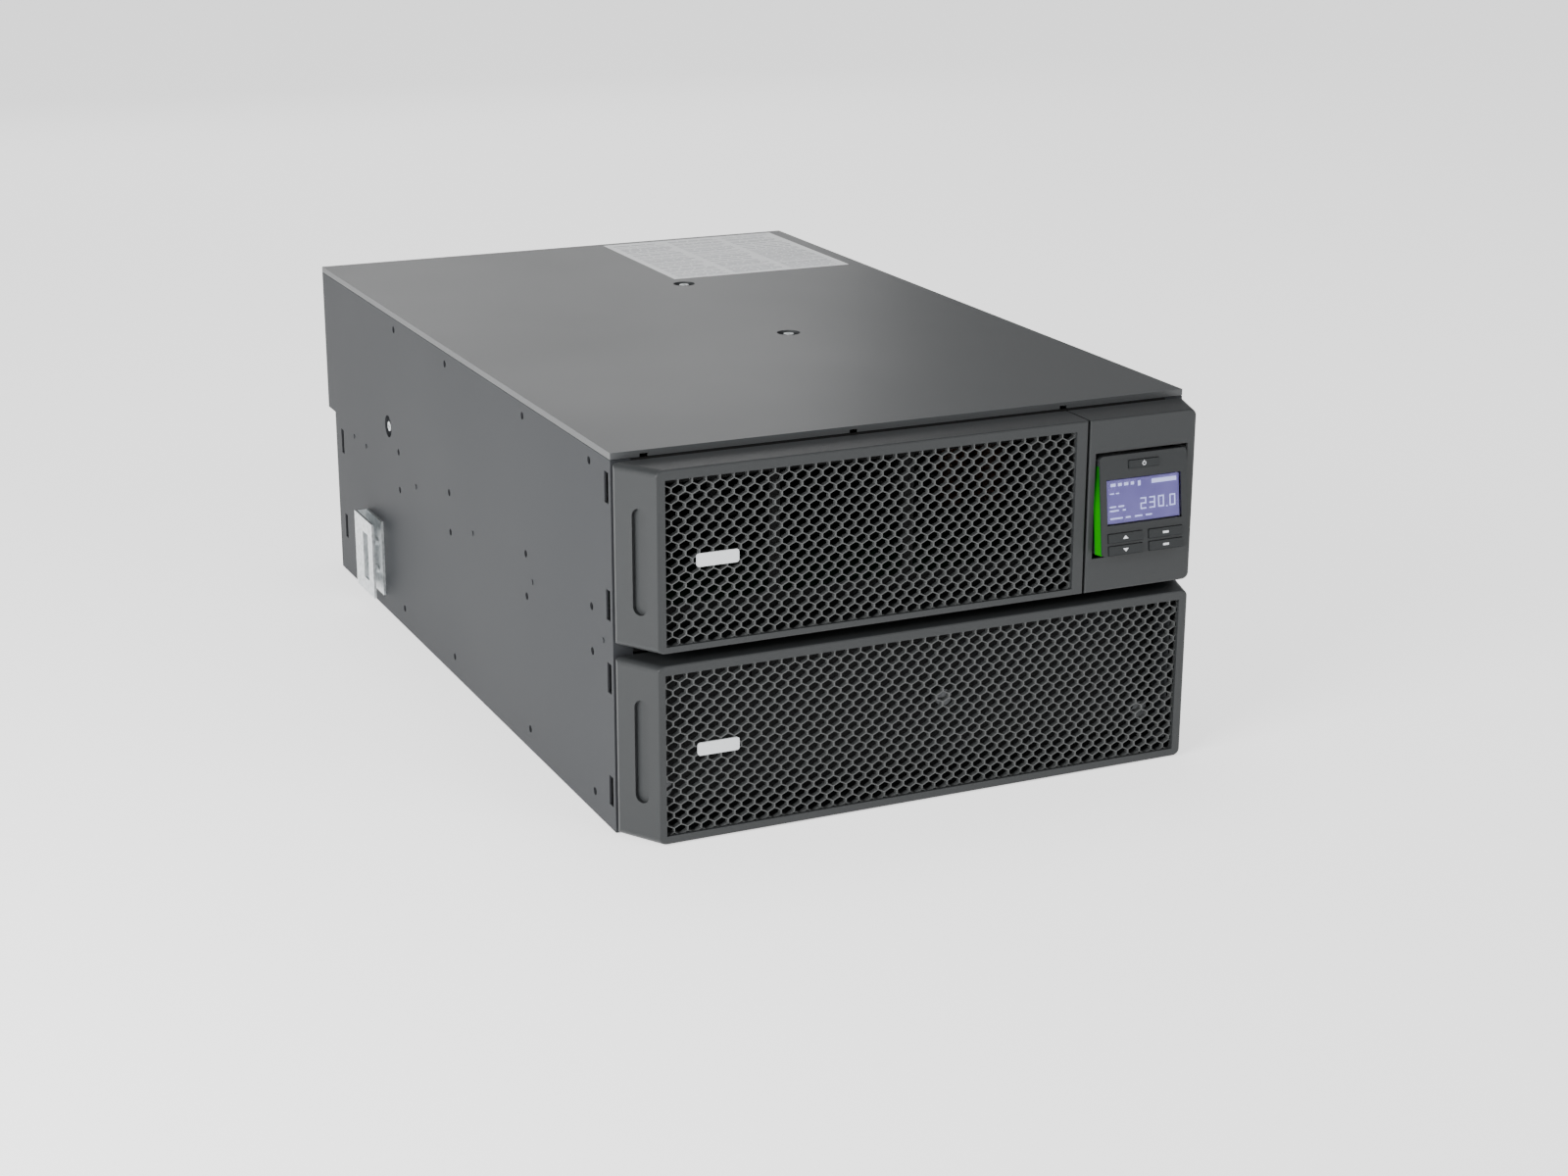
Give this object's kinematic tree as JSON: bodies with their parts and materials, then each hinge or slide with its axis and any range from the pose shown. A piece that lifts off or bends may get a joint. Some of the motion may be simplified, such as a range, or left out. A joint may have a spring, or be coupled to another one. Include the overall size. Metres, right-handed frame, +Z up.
{
  "type": "rackmount uninterruptible power supply",
  "caption": "Deep steel rack cabinet with honeycomb snap-off bezels, a square tilting display module at the front right and outlets, breaker and fans at the rear.",
  "frame": {"origin": "centre of the chassis floor's underside, midway between the chassis front plane and the upper rear plane", "axes": "+X right as seen from the front, +Y towards the rear, +Z up"},
  "size_m": [0.456, 0.7284, 0.2632],
  "materials": {
    "case_steel": "fine matt powder coat",
    "zinc": "zinc-plated",
    "rivet_steel": "painted",
    "bezel_plastic": "satin moulded",
    "grille_plastic": "satin moulded",
    "badge": "plain dark plaque",
    "module_plastic": "satin moulded",
    "window": "clear acrylic window",
    "screen": "violet-blue backlit LCD",
    "light_bar": "translucent light guide",
    "key_plastic": "moulded keys",
    "circuit_board": "solder-masked board",
    "fan_plastic": "black moulded",
    "rotor_plastic": "black moulded",
    "outlet_plastic": "black moulded",
    "toggle_plastic": "white moulded",
    "reset_plastic": "red moulded",
    "port_metal": "satin plate",
    "battery_case": "black sheet-metal pack",
    "handle_plastic": "black moulded",
    "heatsink": "extruded",
    "component": "varnished windings and sleeved cans",
    "label": "printed label"
  },
  "bodies": {
    "cabinet": {"chassis": "case_steel", "top_cover": "case_steel", "front_panel": "case_steel", "battery_door": "case_steel", "rear_panel_upper": "case_steel", "rear_panel_lower": "case_steel", "terminal_cover": "case_steel", "mid_shelf": "zinc", "rear_bracket_left": "zinc", "rear_bracket_right": "zinc", "battery_door_screws": "zinc", "case_screws": "zinc", "display_cradle": "zinc", "shelf_rivets": "rivet_steel", "power_board": "circuit_board", "fan_frame_1": "fan_plastic", "fan_frame_2": "fan_plastic", "fan_frame_3": "fan_plastic", "outlet_bank_1": "outlet_plastic", "outlet_bank_2": "outlet_plastic", "heavy_outlet_bank_1": "outlet_plastic", "heavy_outlet_bank_2": "outlet_plastic", "battery_socket": "outlet_plastic", "input_breaker": "outlet_plastic", "reset_breakers": "outlet_plastic", "service_ports": "port_metal", "battery_pack_1": "battery_case", "battery_pack_2": "battery_case", "battery_pack_3": "battery_case", "battery_pack_4": "battery_case", "battery_handles": "handle_plastic", "heatsinks": "heatsink", "coils_and_capacitors": "component", "rating_label": "label"},
    "upper_bezel": {"upper_bezel_frame": "bezel_plastic", "upper_grille": "grille_plastic", "upper_badge": "badge"},
    "lower_bezel": {"lower_bezel_frame": "bezel_plastic", "lower_grille": "grille_plastic", "lower_badge": "badge"},
    "display_bezel_body": {"display_bezel": "bezel_plastic"},
    "display_module": {"display_housing": "module_plastic", "display_window": "window", "lcd_screen": "screen", "light_bars": "light_bar", "display_board": "circuit_board", "display_hinge_pins": "zinc"},
    "card": {"network_card": "port_metal"},
    "toggle": {"breaker_toggle": "toggle_plastic"},
    "button_up_key": {"button_up": "key_plastic"},
    "button_down_key": {"button_down": "key_plastic"},
    "button_escape_key": {"button_escape": "key_plastic"},
    "button_enter_key": {"button_enter": "key_plastic"},
    "power_button_key": {"power_button": "key_plastic"},
    "rotor_1": {"fan_rotor_1": "rotor_plastic"},
    "rotor_2": {"fan_rotor_2": "rotor_plastic"},
    "rotor_3": {"fan_rotor_3": "rotor_plastic"},
    "reset_1": {"reset_button_1": "reset_plastic"},
    "reset_2": {"reset_button_2": "reset_plastic"}
  },
  "joints": [
    {"name": "upper_bezel_pull", "type": "slide", "parent": "cabinet", "child": "upper_bezel", "axis": [0, -1, 0], "range_m": [0, 0.04]},
    {"name": "lower_bezel_pull", "type": "slide", "parent": "cabinet", "child": "lower_bezel", "axis": [0, -1, 0], "range_m": [0, 0.04]},
    {"name": "display_bezel_pull", "type": "slide", "parent": "cabinet", "child": "display_bezel_body", "axis": [0, -1, 0], "range_m": [0, 0.04]},
    {"name": "display_tilt", "type": "hinge", "parent": "cabinet", "child": "display_module", "pos_m": [0.163, -0.3691, 0.228], "axis": [-1, 0, 0], "range_deg": [-7, 14]},
    {"name": "button_up_press", "type": "slide", "parent": "display_module", "child": "button_up_key", "axis": [0, 0.9925, -0.1219], "range_m": [0, 0.0008], "stiffness_N_per_m": 300, "springref_m": -0.0005},
    {"name": "button_down_press", "type": "slide", "parent": "display_module", "child": "button_down_key", "axis": [0, 0.9925, -0.1219], "range_m": [0, 0.0008], "stiffness_N_per_m": 300, "springref_m": -0.0005},
    {"name": "button_escape_press", "type": "slide", "parent": "display_module", "child": "button_escape_key", "axis": [0, 0.9925, -0.1219], "range_m": [0, 0.0008], "stiffness_N_per_m": 300, "springref_m": -0.0005},
    {"name": "button_enter_press", "type": "slide", "parent": "display_module", "child": "button_enter_key", "axis": [0, 0.9925, -0.1219], "range_m": [0, 0.0008], "stiffness_N_per_m": 300, "springref_m": -0.0005},
    {"name": "power_button_press", "type": "slide", "parent": "display_module", "child": "power_button_key", "axis": [0, 0.9925, -0.1219], "range_m": [0, 0.0008], "stiffness_N_per_m": 300, "springref_m": -0.0005},
    {"name": "fan_spin_1", "type": "hinge", "parent": "cabinet", "child": "rotor_1", "pos_m": [-0.158, 0.32175, 0.199], "axis": [0, 1, 0], "continuous": true},
    {"name": "fan_spin_2", "type": "hinge", "parent": "cabinet", "child": "rotor_2", "pos_m": [-0.068, 0.32175, 0.199], "axis": [0, 1, 0], "continuous": true},
    {"name": "fan_spin_3", "type": "hinge", "parent": "cabinet", "child": "rotor_3", "pos_m": [0.022, 0.32175, 0.199], "axis": [0, 1, 0], "continuous": true},
    {"name": "breaker_switch", "type": "hinge", "parent": "cabinet", "child": "toggle", "pos_m": [0.138, 0.319, 0.1], "axis": [1, 0, 0], "range_deg": [-40, 0]},
    {"name": "reset_press_1", "type": "slide", "parent": "cabinet", "child": "reset_1", "axis": [0, -1, 0], "range_m": [0, 0.0015], "stiffness_N_per_m": 400, "springref_m": -0.0005},
    {"name": "reset_press_2", "type": "slide", "parent": "cabinet", "child": "reset_2", "axis": [0, -1, 0], "range_m": [0, 0.0015], "stiffness_N_per_m": 400, "springref_m": -0.0005},
    {"name": "network_card_slide", "type": "slide", "parent": "cabinet", "child": "card", "axis": [0, 1, 0], "range_m": [0, 0.14]}
  ]
}
